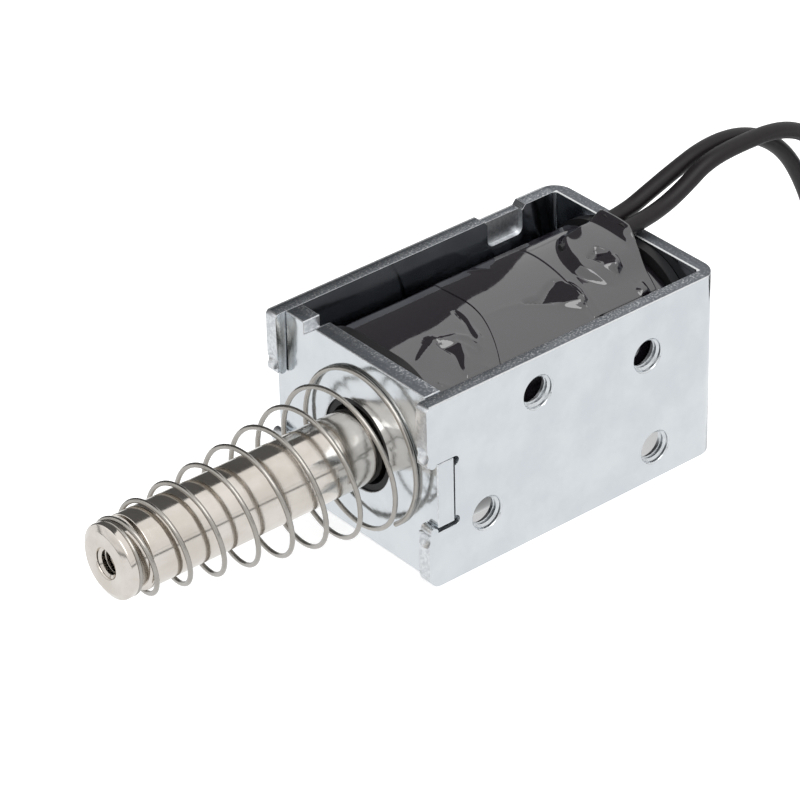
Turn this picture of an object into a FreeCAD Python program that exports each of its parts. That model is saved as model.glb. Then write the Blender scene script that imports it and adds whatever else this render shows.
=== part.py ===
import FreeCAD, Part
import math
import os

# Push pull solenoid with an open frame. Lengths are in millimetres.
# While it is built, X runs across the frame, Y from the front edge to the back and Z up.
# The finished pieces are moved along Y, so that the origin is under the middle of the whole length.

Vector = FreeCAD.Vector

# Steel strip of the U-shaped frame
frame_height = 20.0
frame_width = 23.5
frame_length = 36.6
strip = 1.5
bend_radius = 2.2
inner_bend_radius = 0.45
wall_corner_radius = 1.5

# Front plate, held by one tab in a notch of each side wall
plate_thickness = 2.0
plate_recess = 1.15
plate_lift = 0.1
plate_side_gap = 0.1
plate_hole_radius = 4.75
plate_roll = 0.3
tab_height = 7.0
tab_gap_below = 0.45
tab_gap_above = 0.1
tab_gap_behind = 0.1
relief_radius = 0.5
nick_place = -7.45
nick_width = 1.7
nick_depth = 1.25

# Punch marks that push a lip of each wall in front of the tab
stake_radius = 0.88
stake_depth = 0.9
stake_below = 0.65
stake_above = 1.05
lip_radius = 0.46
lip_below = 0.6
lip_above = 0.34

# Tapped holes of the near wall in two diagonal pairs: distance behind the front edge, and above the axis
thread_radius = 1.5
thread_mouth = 0.12
front_pair = ((7.1, -4.4), (27.3, 4.4))
rear_pair = ((13.5, 6.2), (28.4, -6.4))

# Coined pocket at the top of the far wall
pocket_front = 26.35
pocket_width = 4.45
pocket_height = 3.05
pocket_depth = 0.55
pocket_radius = 0.75
saddle_depth = 0.5
saddle_shoulder = 0.45

# Plunger and its stroke
axis_height = frame_height / 2
plunger_radius = 3.75
plunger_out = 29.3
plunger_length = 40.0
stroke = 10.0
tip_chamfer = 0.75
tip_chamfer_length = 0.45
lip_length = 1.15
groove_width = 1.7
groove_radius = 3.25
groove_shoulder = 0.2
cone_length = 4.0
cone_base_radius = 3.35
cone_tip_radius = 1.95
tip_hole_depth = 8.0
tip_hole_mouth = 0.15
drill_point = 0.9

# Running gaps and seats
running_gap = 0.08
seat_gap = 0.05
pole_gap = 0.15

# Bobbin and coil
barrel_radius = plate_hole_radius - seat_gap
nose_recess = 0.25
nose_lead_in = 0.25
nose_lead_length = 0.8
flange_thickness = 1.0
flange_inset = 0.15
flange_corner = 6.9
winding_inset = 0.6
winding_corner = 6.7
outer_tape = 0.2
tape_lap_front = 16.0
tape_lap = 1.6
tape_side_gap = 0.1

# Fixed pole, riveted into the back wall
spigot_radius = 2.6
rivet_radius = 3.3
rivet_height = 0.6
rivet_round = 0.3

# Push rod with its stop
rod_radius = 1.25
rod_seat_depth = 6.0
rod_chamfer = 0.3
rod_tail = 1.1
washer_radius = 3.2
washer_thickness = 0.8
clip_radius = 2.8
clip_thickness = 0.5
clip_groove_radius = 0.95
clip_mouth = 1.6
clip_lobe_radius = 0.65

# Conical return spring, counted in turns from its end on the plate
wire_radius = 0.25
spring_base_radius = 7.96
spring_small_radius = 3.95
spring_curve = 0.3
spring_base_turns = 0.57
spring_free_turns = 7.95
spring_tip_turns = 1.24
spring_start_angle = 307.0
spring_base_shift = (1.0, 0.44)
spring_sag = 0.35
spring_lean = -0.05
spring_ease = 0.6
steps_per_turn = 18
wire_sides = 6

# Flying leads, their joints and the coil of the length that is put away
lead_radius = 0.85
lead_sides = 6
coil_sides = 30
plain_sides = 8
sleeve_radius = 0.85
sleeve_length = 5.6
sleeve_back_gap = 1.7
joint_rise = 0.2
lead_left_x = -1.3
lead_right_x = 1.0
cover_wall = 0.2
cover_spread_side = 1.9
cover_spread_front = 2.8
coil_middle_x = 10.3
coil_behind_frame = 41.9
coil_outer_turn = 11.4
coil_turns = 2.2
coil_track = 1.85
tie_width = 2.4
tie_thickness = 0.3
tie_head = (2.0, 3.2, 2.4)
bare_radius = 0.45
bare_length = 5.0

# Route of each lead from the joint at the winding to the coil: x, distance behind the frame, z
route_left = (
    (-1.3, -3.0, 20.85), (-1.3, 2.0, 21.3), (-1.3, 7.7, 23.1), (-1.3, 12.6, 24.2),
    (-1.25, 17.4, 23.2), (-1.2, 21.3, 20.0), (-1.1, 23.6, 15.5), (-1.05, 25.4, 10.7),
    (-1.0, 28.0, 6.3), (-1.0, 32.0, 3.2), (-1.05, 36.6, 1.6), (-1.1, 41.0, 1.3),
)
route_right = (
    (1.0, -3.0, 20.85), (1.0, 2.2, 21.0), (1.05, 8.0, 22.9), (1.1, 13.0, 24.8),
    (1.0, 18.2, 24.7), (0.8, 22.7, 22.0), (0.5, 25.6, 17.7), (0.1, 27.6, 12.9),
    (-0.4, 30.1, 8.4), (-0.8, 33.6, 5.1), (-1.05, 37.8, 3.5), (-1.1, 42.0, 3.15),
)
arc_share = 0.45

# Places that follow from the sizes above
inner_half = frame_width / 2 - strip
back_face = frame_length - strip
plate_rear = plate_recess + plate_thickness
bore_radius = plunger_radius + running_gap
core_radius = bore_radius - seat_gap
core_bore = rod_radius + running_gap
tip_face = plate_recess - plunger_out
cone_end = tip_face + plunger_length
cone_start = cone_end - cone_length
pole_face = cone_start + stroke + pole_gap
rivet_face = frame_length + rivet_height
washer_front = rivet_face + seat_gap
clip_front = washer_front + washer_thickness + seat_gap
rod_end = clip_front + clip_thickness + seat_gap + rod_tail
groove_front = tip_face + lip_length
groove_rear = groove_front + groove_width
winding_front = plate_rear + seat_gap + flange_thickness
winding_rear = back_face - seat_gap - flange_thickness
flange_half_x = inner_half - inner_bend_radius
flange_half_z = frame_height / 2 - flange_inset
winding_half_x = flange_half_x - winding_inset
winding_half_z = flange_half_z - winding_inset
sleeve_end = back_face - sleeve_back_gap
coil_middle_y = frame_length + coil_behind_frame
notch_low = axis_height - tab_height / 2 - tab_gap_below
notch_high = axis_height + tab_height / 2 + tab_gap_above
notch_rear = plate_rear + tab_gap_behind
middle_y = (tip_face + rod_end) / 2


def save(name, shape):
    """Move a finished piece to the origin and write it."""
    placed = shape.copy()
    placed.translate(Vector(0, -middle_y, 0))
    placed.exportStep("parts/" + name + ".step")
    print(name, round(placed.Volume, 3), placed.isValid(), len(placed.Solids))


def turned(profile):
    """Turn an outline of (radius, y) points about the plunger axis."""
    points = [Vector(radius, y, 0) for radius, y in profile]
    face = Part.Face(Part.makePolygon(points + points[:1]))
    solid = face.revolve(Vector(0, 0, 0), Vector(0, 1, 0), 360)
    solid.translate(Vector(0, 0, axis_height))
    return solid


def block(low, high):
    """Straight block between two corners."""
    size = [high[i] - low[i] for i in range(3)]
    return Part.makeBox(size[0], size[1], size[2], Vector(*low))


def rod_along(start, direction, radius, length):
    """Round bar from a start point along a direction."""
    return Part.makeCylinder(radius, length, Vector(*start), Vector(*direction))


def many_sided(centre, along, upward, radius, sides):
    """Even-sided outline across a path, close to a circle of the given radius."""
    side = along.cross(upward).normalize()
    out = side.cross(along).normalize()
    corners = []
    for i in range(sides + 1):
        angle = 2 * math.pi * i / sides
        corners.append(centre + out * (radius * math.cos(angle)) + side * (radius * math.sin(angle)))
    return Part.Wire(Part.makePolygon(corners).Edges)


def many_sided_rod(start, direction, radius, length, sides=plain_sides):
    """Straight bar with a many-sided section, for what stays plain."""
    upward = Vector(1, 0, 0) if abs(direction.z) > 0.9 else Vector(0, 0, 1)
    outline = many_sided(start, direction, upward, radius, sides)
    return Part.Face(outline).extrude(direction * length)


def rounded_prism(half_x, half_z, corner, front, rear):
    """Rectangular prism about the plunger axis with its long edges rounded."""
    low = (-half_x, front, axis_height - half_z)
    high = (half_x, rear, axis_height + half_z)
    prism = block(low, high)
    along = [edge for edge in prism.Edges if abs(edge.tangentAt(edge.FirstParameter).y) > 0.9]
    return prism.makeFillet(corner, along)


def wall_profile(x, outline):
    """Plate-thick slice of a side wall from (y, z) points, starting at x."""
    points = [Vector(x, y, z) for y, z in outline]
    return Part.Face(Part.makePolygon(points + points[:1])).extrude(Vector(strip, 0, 0))


def channel():
    """Strip bent to a U, seen from above, before anything is cut."""
    outer = block((-frame_width / 2, 0, 0), (frame_width / 2, frame_length, frame_height))
    inner = block((-inner_half, -1, -1), (inner_half, back_face, frame_height + 1))

    def back_edges(solid, y):
        return [
            edge for edge in solid.Edges
            if abs(edge.Vertexes[0].Y - y) < 1e-6 and abs(edge.Vertexes[1].Y - y) < 1e-6
            and abs(edge.tangentAt(edge.FirstParameter).z) > 0.9
        ]

    outer = outer.makeFillet(bend_radius, back_edges(outer, frame_length))
    inner = inner.makeFillet(inner_bend_radius, back_edges(inner, back_face))
    return outer.cut(inner)


def corner_waste(z, up):
    """What is cut off to round one front corner of the walls."""
    radius = wall_corner_radius
    low_z = z - radius if up else z - 1
    high_z = z + 1 if up else z + radius
    waste = block((-frame_width, -1, low_z), (frame_width, radius, high_z))
    centre_z = z - radius if up else z + radius
    return waste.cut(rod_along((-frame_width, radius, centre_z), (1, 0, 0), radius, 2 * frame_width))


def notch_waste():
    """Slot for the tabs, open to the front, with drilled corners."""
    waste = block((-frame_width, -1, notch_low), (frame_width, notch_rear, notch_high))
    for z in (notch_low + relief_radius, notch_high - relief_radius):
        start = (-frame_width, notch_rear, z)
        waste = waste.fuse(rod_along(start, (1, 0, 0), relief_radius, 2 * frame_width))
    return waste


def staked(body):
    """Punch marks in the front edges, and the lips that they push in front of the tabs."""
    lip_y = plate_recess - lip_radius
    for side in (-1, 1):
        middle = side * (frame_width - strip) / 2
        wall_x = min(side * inner_half, side * frame_width / 2)
        for z in (notch_low - stake_below, notch_high + stake_above):
            start = Vector(middle, 0, z)
            body = body.cut(Part.makeCone(stake_radius, 0, stake_depth, start, Vector(0, 1, 0)))
        low_centre = notch_low + lip_below - lip_radius
        high_centre = notch_high - lip_above + lip_radius
        for z in (low_centre, high_centre):
            lip = rod_along((wall_x, lip_y, z), (1, 0, 0), lip_radius, strip)
            body = body.fuse(lip)
    return body


def tapped_hole_waste(y, z):
    """Hole through the near wall at the size of the thread's crests, with a broken mouth."""
    outer = frame_width / 2
    hole = rod_along((inner_half - 1, y, z), (1, 0, 0), thread_radius, strip + 2)
    mouth = Part.makeCone(
        thread_radius, thread_radius + 2 * thread_mouth, 2 * thread_mouth,
        Vector(outer - thread_mouth, y, z), Vector(1, 0, 0),
    )
    return hole.fuse(mouth)


def pocket_waste():
    """Pocket pressed into the inner face of the far wall, and the low saddle above it."""
    outer = -frame_width / 2
    inner = -inner_half
    floor = frame_height - pocket_height
    rear = pocket_front + pocket_width
    pocket = block((inner - pocket_depth, pocket_front, floor), (inner + 1, rear, frame_height + 2))
    corners = [
        edge for edge in pocket.Edges
        if abs(edge.tangentAt(edge.FirstParameter).x) > 0.9 and edge.Vertexes[0].Z < floor + 0.1
    ]
    pocket = pocket.makeFillet(pocket_radius, corners)
    top = frame_height + 0.01
    low = frame_height - saddle_depth
    outline = [
        (pocket_front - saddle_shoulder, top), (pocket_front, low),
        (rear, low), (rear + saddle_shoulder, top),
    ]
    return pocket.fuse(wall_profile(outer, outline))


def frame_channel():
    """The U-shaped frame with all its cut-outs."""
    body = channel()
    body = body.cut(corner_waste(frame_height, True)).cut(corner_waste(0, False))
    body = body.cut(notch_waste())
    body = staked(body)
    for y, above_axis in front_pair + rear_pair:
        body = body.cut(tapped_hole_waste(y, axis_height + above_axis))
    body = body.cut(pocket_waste())
    body = body.cut(rod_along((0, back_face - 1, axis_height), (0, 1, 0), spigot_radius, strip + 2))
    return body.removeSplitter()


def front_plate():
    """Plate with two tabs, the round hole for the bobbin's nose and a nick in its top edge."""
    half = inner_half - plate_side_gap
    low = plate_lift
    high = plate_lift + frame_height
    tab_low = axis_height - tab_height / 2
    tab_high = axis_height + tab_height / 2
    reach = frame_width / 2
    outline = [
        (-half, low), (half, low), (half, tab_low), (reach, tab_low), (reach, tab_high),
        (half, tab_high), (half, high), (nick_place + nick_width, high),
        (nick_place, high - nick_depth), (nick_place, high), (-half, high),
        (-half, tab_high), (-reach, tab_high), (-reach, tab_low), (-half, tab_low),
    ]
    points = [Vector(x, plate_recess, z) for x, z in outline]
    plate = Part.Face(Part.makePolygon(points + points[:1])).extrude(Vector(0, plate_thickness, 0))
    hole = rod_along((0, 0, axis_height), (0, 1, 0), plate_hole_radius, plate_rear + 1)
    plate = plate.cut(hole)
    rolled = [
        edge for edge in plate.Edges
        if edge.BoundBox.YMin > plate_rear - 1e-6 and edge.BoundBox.ZLength < 1e-6
        and edge.Length > frame_height * 0.6
    ]
    return plate.makeFillet(plate_roll, rolled)


def bobbin():
    """Moulded bobbin: a barrel, two flanges as wide as the frame's bends allow and a nose in the plate's hole."""
    nose_face = plate_recess + nose_recess
    rear = back_face - seat_gap
    barrel = turned([
        (bore_radius + nose_lead_in, nose_face), (barrel_radius, nose_face), (barrel_radius, rear),
        (bore_radius, rear), (bore_radius, nose_face + nose_lead_length),
    ])
    bore = rod_along((0, 0, axis_height), (0, 1, 0), barrel_radius - seat_gap, frame_length)
    front = plate_rear + seat_gap
    for start in (front, rear - flange_thickness):
        end = start + flange_thickness
        flange = rounded_prism(flange_half_x, flange_half_z, flange_corner, start, end)
        barrel = barrel.fuse(flange.cut(bore))
    return barrel.removeSplitter()


def around_winding(growth, front, rear):
    """Prism with the winding's outline, grown by a number of millimetres all round."""
    corner = winding_corner + growth
    return rounded_prism(winding_half_x + growth, winding_half_z + growth, corner, front, rear)


def winding():
    """The wound wire between the flanges, as one solid."""
    front = winding_front + seat_gap
    rear = winding_rear - seat_gap
    start = (0, front - 1, axis_height)
    hole = rod_along(start, (0, 1, 0), barrel_radius + seat_gap, rear - front + 2)
    return around_winding(0, front, rear).cut(hole)


def band(inside, outside, front, rear):
    """Band of tape between two growths of the winding's outline."""
    return around_winding(outside, front, rear).cut(around_winding(inside, front - 1, rear + 1))


def coil_pieces():
    """Winding and the two lapped bands of tape round it."""
    front = winding_front + tape_side_gap
    rear = winding_rear - tape_side_gap
    band_in = seat_gap
    band_out = band_in + outer_tape
    lap_in = band_out + seat_gap
    lap_out = lap_in + outer_tape
    lap_rear = tape_lap_front + tape_lap
    rear_band = band(band_in, lap_out, lap_rear + seat_gap, rear)
    over_lap = band(lap_in, lap_out, tape_lap_front, lap_rear + seat_gap)
    return {
        "copper_winding": winding(),
        "outer_tape_front": band(band_in, band_out, front, lap_rear),
        "outer_tape_rear": rear_band.fuse(over_lap).removeSplitter(),
    }


def tape_top():
    """Height of the outer tape's flat top."""
    layers = 2 * outer_tape + 2 * seat_gap
    return axis_height + winding_half_z + layers


def level_rectangle(left, right, front, rear, z):
    """Flat rectangle as a closed wire."""
    corners = [(left, front), (right, front), (right, rear), (left, rear), (left, front)]
    return Part.Wire(Part.makePolygon([Vector(x, y, z) for x, y in corners]).Edges)


def lead_cover():
    """Tape stretched as a tent over the two joints, hollow where the sleeves lie."""
    low_z = tape_top() + seat_gap
    hollow_z = low_z + 2 * sleeve_radius + 2 * seat_gap
    top_z = hollow_z + cover_wall
    left = lead_left_x - sleeve_radius - seat_gap
    right = lead_right_x + sleeve_radius + seat_gap
    front = sleeve_end - sleeve_length - seat_gap
    wall = cover_wall
    side, fore = wall + cover_spread_side, wall + cover_spread_front
    foot = level_rectangle(left - side, right + side, front - fore, sleeve_end, low_z)
    ridge = level_rectangle(left - wall, right + wall, front - wall, sleeve_end, top_z)
    tent = Part.makeLoft([foot, ridge], True, True)
    return tent.cut(block((left, front, low_z - 1), (right, sleeve_end + 1, hollow_z)))


def splice_sleeve(x):
    """Shrink sleeve over the joint of one lead and the end of the winding wire."""
    z = tape_top() + 2 * seat_gap + sleeve_radius
    start = Vector(x, sleeve_end - sleeve_length, z)
    return many_sided_rod(start, Vector(0, 1, 0), sleeve_radius, sleeve_length)


def pole_core():
    """Fixed pole with a hollow cone at its face and a rivet head behind the back wall."""
    rim = plunger_radius - cone_base_radius
    depth = cone_length
    pole = turned([
        (core_radius, pole_face), (core_radius, back_face), (spigot_radius - seat_gap / 2, back_face),
        (spigot_radius - seat_gap / 2, frame_length), (rivet_radius, frame_length),
        (rivet_radius, rivet_face - rivet_round), (rivet_radius - rivet_round, rivet_face),
        (core_bore, rivet_face), (core_bore, pole_face + depth),
        (cone_tip_radius, pole_face + depth), (core_radius - rim, pole_face),
    ])
    return pole


def plunger():
    """Moving iron with a tapped tip, the spring's groove and a cone that enters the pole."""
    chamfer_end = tip_face + tip_chamfer_length
    bore = rod_radius + seat_gap / 2
    bore_start = cone_end - rod_seat_depth
    hole_end = tip_face + tip_hole_depth
    return turned([
        (thread_radius + tip_hole_mouth, tip_face), (plunger_radius - tip_chamfer, tip_face),
        (plunger_radius, chamfer_end), (plunger_radius, groove_front),
        (groove_radius, groove_front), (groove_radius, groove_rear - groove_shoulder),
        (groove_radius + groove_shoulder, groove_rear), (plunger_radius, groove_rear),
        (plunger_radius, cone_start),
        (cone_base_radius, cone_start), (cone_tip_radius, cone_end), (bore, cone_end),
        (bore, bore_start), (0, bore_start), (0, hole_end + drill_point),
        (thread_radius, hole_end), (thread_radius, tip_face + tip_hole_mouth),
    ])


def push_rod():
    """Rod pressed into the plunger, through the pole and out behind, with the clip's groove."""
    start = cone_end - rod_seat_depth + seat_gap
    groove_start = clip_front - seat_gap
    groove_end = clip_front + clip_thickness + seat_gap
    return turned([
        (0, start), (rod_radius, start), (rod_radius, groove_start), (clip_groove_radius, groove_start),
        (clip_groove_radius, groove_end), (rod_radius, groove_end),
        (rod_radius, rod_end - rod_chamfer), (rod_radius - rod_chamfer, rod_end), (0, rod_end),
    ])


def cushion_washer():
    """Soft washer between the clip and the rivet."""
    inner = rod_radius + seat_gap
    rear = washer_front + washer_thickness
    return turned([
        (inner, washer_front), (washer_radius, washer_front), (washer_radius, rear), (inner, rear),
    ])


def retaining_clip():
    """E-shaped clip in the rod's groove, open to below, with two rounded lobes cut inside."""
    centre = (0, clip_front, axis_height)
    clip = rod_along(centre, (0, 1, 0), clip_radius, clip_thickness)
    grip = clip_groove_radius + seat_gap
    cut = rod_along((0, clip_front - 1, axis_height), (0, 1, 0), grip, clip_thickness + 2)
    mouth = block(
        (-clip_mouth / 2, clip_front - 1, axis_height - clip_radius - 1),
        (clip_mouth / 2, clip_front + clip_thickness + 1, axis_height),
    )
    cut = cut.fuse(mouth)
    lobe_reach = grip + clip_lobe_radius * 0.6
    for angle in (35, 145):
        x = lobe_reach * math.cos(math.radians(angle))
        z = axis_height + lobe_reach * math.sin(math.radians(angle))
        lobe = rod_along((x, clip_front - 1, z), (0, 1, 0), clip_lobe_radius, clip_thickness + 2)
        cut = cut.fuse(lobe)
    return clip.cut(cut)


def eased(turns, width):
    """Zero before a corner, one per turn after it, and a smooth bend of the given width."""
    if turns <= -width / 2:
        return 0.0
    if turns >= width / 2:
        return turns
    return (turns + width / 2) ** 2 / (2 * width)


def spring_point(turn):
    """Corner of the spring's path, as far outside the true radius as its steps cut inside it."""
    base_y = plate_recess - wire_radius
    tip_y = groove_front + wire_radius
    free_end = spring_base_turns + spring_free_turns
    gone = eased(turn - spring_base_turns, spring_ease) - eased(turn - free_end, spring_ease)
    share = gone / spring_free_turns
    left = 1 - share
    y = base_y + (tip_y - base_y) * share
    taper = (1 - spring_curve) * left + spring_curve * left * left
    radius = spring_small_radius + (spring_base_radius - spring_small_radius) * taper
    seat = groove_radius + wire_radius + seat_gap
    settle = min(1.0, max(0.0, (turn - free_end + 0.5) / 0.9))
    radius -= (spring_small_radius - seat) * settle * settle * (3 - 2 * settle)
    radius /= math.cos(math.pi / steps_per_turn)
    angle = math.radians(spring_start_angle + 360 * turn)
    x = radius * math.cos(angle)
    z = radius * math.sin(angle)
    y += spring_lean * (x + z) * min(1.0, 8 * left, 8 * share)
    x += spring_base_shift[0] * left
    z += spring_base_shift[1] * left - spring_sag * 4 * left * share
    return Vector(x, y, axis_height + z)


def return_spring():
    """Conical spring with a closed turn at each end, as even steps of six-sided wire."""
    total = spring_base_turns + spring_free_turns + spring_tip_turns
    count = math.ceil(total * steps_per_turn)
    points = [spring_point(total * i / count) for i in range(count + 1)]
    path = Part.Wire(Part.makePolygon(points).Edges)
    along = (points[1] - points[0]).normalize()
    outward = Vector(points[0].x, 0, points[0].z - axis_height)
    section = many_sided(points[0], along, outward, wire_radius, wire_sides)
    sweep = Part.BRepOffsetAPI.MakePipeShell(path)
    sweep.setFrenetMode(True)
    sweep.setTransitionMode(1)
    sweep.add(section, False, False)
    sweep.build()
    sweep.makeSolid()
    return sweep.shape()


def rounded_path(route, name):
    """Straight runs joined by tangent arcs, as large as the two runs allow."""
    joint_height = tape_top() + joint_rise + sleeve_radius
    lift = joint_height / route[0][2]
    points = [Vector(x, frame_length + behind, z * lift) for x, behind, z in route]
    edges = []
    radii = []
    last = points[0]
    for before, corner, after in zip(points, points[1:], points[2:]):
        back = (before - corner).normalize()
        ahead = (after - corner).normalize()
        setback = arc_share * min((before - corner).Length, (after - corner).Length)
        half_turn = (math.pi - back.getAngle(ahead)) / 2
        radius = setback / math.tan(half_turn)
        radii.append(round(radius, 1))
        start = corner + back * setback
        end = corner + ahead * setback
        inward = (back + ahead).normalize()
        middle = corner + inward * (radius / math.cos(half_turn) - radius)
        edges.append(Part.LineSegment(last, start).toShape())
        edges.append(Part.Arc(start, middle, end).toShape())
        last = end
    edges.append(Part.LineSegment(last, points[-1]).toShape())
    path = Part.Wire(edges)
    print(name, "arc radii", radii, "length", round(path.Length, 2))
    return path


def lead(route, name):
    """One flying lead from its joint to the coil that is put away."""
    path = rounded_path(route, name)
    start = path.Edges[0].Vertexes[0].Point
    along = (path.Edges[0].Vertexes[1].Point - start).normalize()
    section = many_sided(start, along, Vector(0, 0, 1), lead_radius, lead_sides)
    tube = path.makePipeShell([section], True, False)
    area = Part.Face(section).Area
    print(name, "volume share", round(tube.Volume / (area * path.Length), 4))
    return tube


def coil_sizes():
    """Inner and outer radius of the coil, and its lowest and highest point."""
    inner = coil_outer_turn - coil_track * coil_turns - lead_radius - seat_gap
    outer = coil_outer_turn + lead_radius + seat_gap
    low = tie_thickness + seat_gap
    return inner, outer, low, low + 2 * coil_track + seat_gap


def lead_coil():
    """Plain ring that the put-away turns of both leads fill."""
    inner, outer, low, high = coil_sizes()
    centre = Vector(coil_middle_x, coil_middle_y, low)
    upward = Vector(0, 0, 1)
    full = many_sided_rod(centre, upward, outer, high - low, coil_sides)
    return full.cut(many_sided_rod(centre, upward, inner, high - low, coil_sides))


def coil_tie():
    """Cable tie around the coil, with its head outside."""
    inner, outer, low, high = coil_sizes()
    near = coil_middle_y - tie_width / 2
    far = coil_middle_y + tie_width / 2
    inner_side = math.sqrt((inner * math.cos(math.pi / coil_sides)) ** 2 - (tie_width / 2) ** 2)
    hole_low = (coil_middle_x + inner_side - seat_gap, near - 1, low - seat_gap)
    hole_high = (coil_middle_x + outer + seat_gap, far + 1, high + seat_gap)
    loop = block(
        (hole_low[0] - tie_thickness, near, 0),
        (hole_high[0] + tie_thickness, far, hole_high[2] + tie_thickness),
    )
    loop = loop.cut(block(hole_low, hole_high))
    head_x = hole_high[0] + tie_thickness
    head = block(
        (head_x, coil_middle_y - tie_head[1] / 2, 0),
        (head_x + tie_head[0], coil_middle_y + tie_head[1] / 2, tie_head[2]),
    )
    return loop.fuse(head).removeSplitter()


def bare_end(layer):
    """Stripped and tinned end of one lead, inside the coil."""
    inner, outer, low, high = coil_sizes()
    angle = math.radians(180 - 360 * coil_turns)
    start_radius = inner - seat_gap
    start = Vector(
        coil_middle_x + start_radius * math.cos(angle),
        coil_middle_y + start_radius * math.sin(angle),
        low + seat_gap + lead_radius + layer * coil_track,
    )
    direction = Vector(-math.cos(angle), -math.sin(angle), 0)
    return many_sided_rod(start, direction, bare_radius, bare_length)


def main():
    os.makedirs("parts", exist_ok=True)
    save("frame_channel", frame_channel())
    save("front_plate", front_plate())
    save("bobbin", bobbin())
    for name, layer in coil_pieces().items():
        save(name, layer)
    save("lead_cover_tape", lead_cover())
    save("splice_sleeve_left", splice_sleeve(lead_left_x))
    save("splice_sleeve_right", splice_sleeve(lead_right_x))
    save("pole_core", pole_core())
    save("plunger", plunger())
    save("push_rod", push_rod())
    save("cushion_washer", cushion_washer())
    save("retaining_clip", retaining_clip())
    save("return_spring", return_spring())
    save("lead_left", lead(route_left, "lead_left"))
    save("lead_right", lead(route_right, "lead_right"))
    save("lead_coil", lead_coil())
    save("coil_tie", coil_tie())
    save("bare_end_left", bare_end(0))
    save("bare_end_right", bare_end(1))


main()
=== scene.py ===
import math

import bmesh
import bpy
from mathutils import Matrix, Vector


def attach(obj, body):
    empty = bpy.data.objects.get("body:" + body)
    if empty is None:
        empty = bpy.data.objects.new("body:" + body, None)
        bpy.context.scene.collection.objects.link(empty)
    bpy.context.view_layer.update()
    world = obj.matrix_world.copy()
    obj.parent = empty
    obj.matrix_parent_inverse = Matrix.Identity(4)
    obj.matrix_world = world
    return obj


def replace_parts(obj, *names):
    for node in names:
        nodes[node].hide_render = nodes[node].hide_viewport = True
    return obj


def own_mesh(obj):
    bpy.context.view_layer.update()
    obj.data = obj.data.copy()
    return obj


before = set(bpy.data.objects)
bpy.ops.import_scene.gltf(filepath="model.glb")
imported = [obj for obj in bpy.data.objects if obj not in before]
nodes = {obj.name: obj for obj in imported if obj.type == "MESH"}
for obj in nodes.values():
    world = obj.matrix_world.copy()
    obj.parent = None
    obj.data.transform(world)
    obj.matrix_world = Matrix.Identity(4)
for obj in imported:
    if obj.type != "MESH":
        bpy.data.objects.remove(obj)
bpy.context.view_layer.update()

# Push pull solenoid with an open frame. X runs across it, Y from the plunger's tip to the leads, Z up.
# Lengths are in millimetres, and MM turns them to metres.
MM = 0.001
AXIS_Z = 10.0              # height of the plunger's axis

# The frame: a channel of strip, closed by the front plate
STRIP = 1.5
FRONT = -5.8               # where its front edges are along Y
FRAME_TOP = 20.0
FRAME_LENGTH = 36.6
BACK_INNER = FRONT + FRAME_LENGTH - STRIP
WALL_OUTER = 11.75         # outer face of the near wall along X
WALL_INNER = WALL_OUTER - STRIP
PLATE_FACE = FRONT + 1.15
PLATE_BACK = PLATE_FACE + 2.0
TIP = PLATE_FACE - 29.3    # where the plunger's tip is along Y
GROOVE_FRONT = TIP + 1.15  # front side of the tip's groove, which holds the spring

# Settings of two nodes that most finishes use
SOFT = {"interpolation_type": "SMOOTHSTEP"}
COLOUR = {"data_type": "RGBA"}


def linear(hex_colour):
    """An sRGB hex colour as linear red, green and blue with full opacity."""
    channels = [int(hex_colour[i:i + 2], 16) / 255 for i in (1, 3, 5)]
    return [c / 12.92 if c <= 0.04045 else ((c + 0.055) / 1.055) ** 2.4 for c in channels] + [1.0]


def feed(tree, node, inputs):
    """Give each input of a node a constant, or a link from an output or from a node's shown output."""
    for key, value in inputs.items():
        if isinstance(value, bpy.types.Node):
            value = next(output for output in value.outputs if output.enabled)
        if isinstance(value, bpy.types.NodeSocket):
            tree.links.new(value, node.inputs[key])
        else:
            node.inputs[key].default_value = value
    return node


def add(tree, kind, inputs=None, **settings):
    """Add a shader node with its settings, constants and links."""
    made = tree.nodes.new("ShaderNode" + kind)
    for name, value in settings.items():
        setattr(made, name, value)
    return feed(tree, made, inputs or {})


def new_material(name, inputs):
    """A material with one Principled BSDF and its constants."""
    made = bpy.data.materials.new(name)
    made.use_nodes = True
    tree = made.node_tree
    return made, tree, feed(tree, tree.nodes["Principled BSDF"], inputs)


def mottle(tree, cell, detail, roughness):
    """Cloudy pattern that stays on the piece at every pose; cell gives its size along X, Y and Z."""
    place = add(tree, "TexCoord").outputs["Object"]
    cells = add(tree, "Mapping", {"Vector": place, "Scale": [1 / (length * MM) for length in cell]})
    return add(tree, "TexNoise", {"Vector": cells, "Scale": 1.0, "Detail": detail, "Roughness": roughness})


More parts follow.
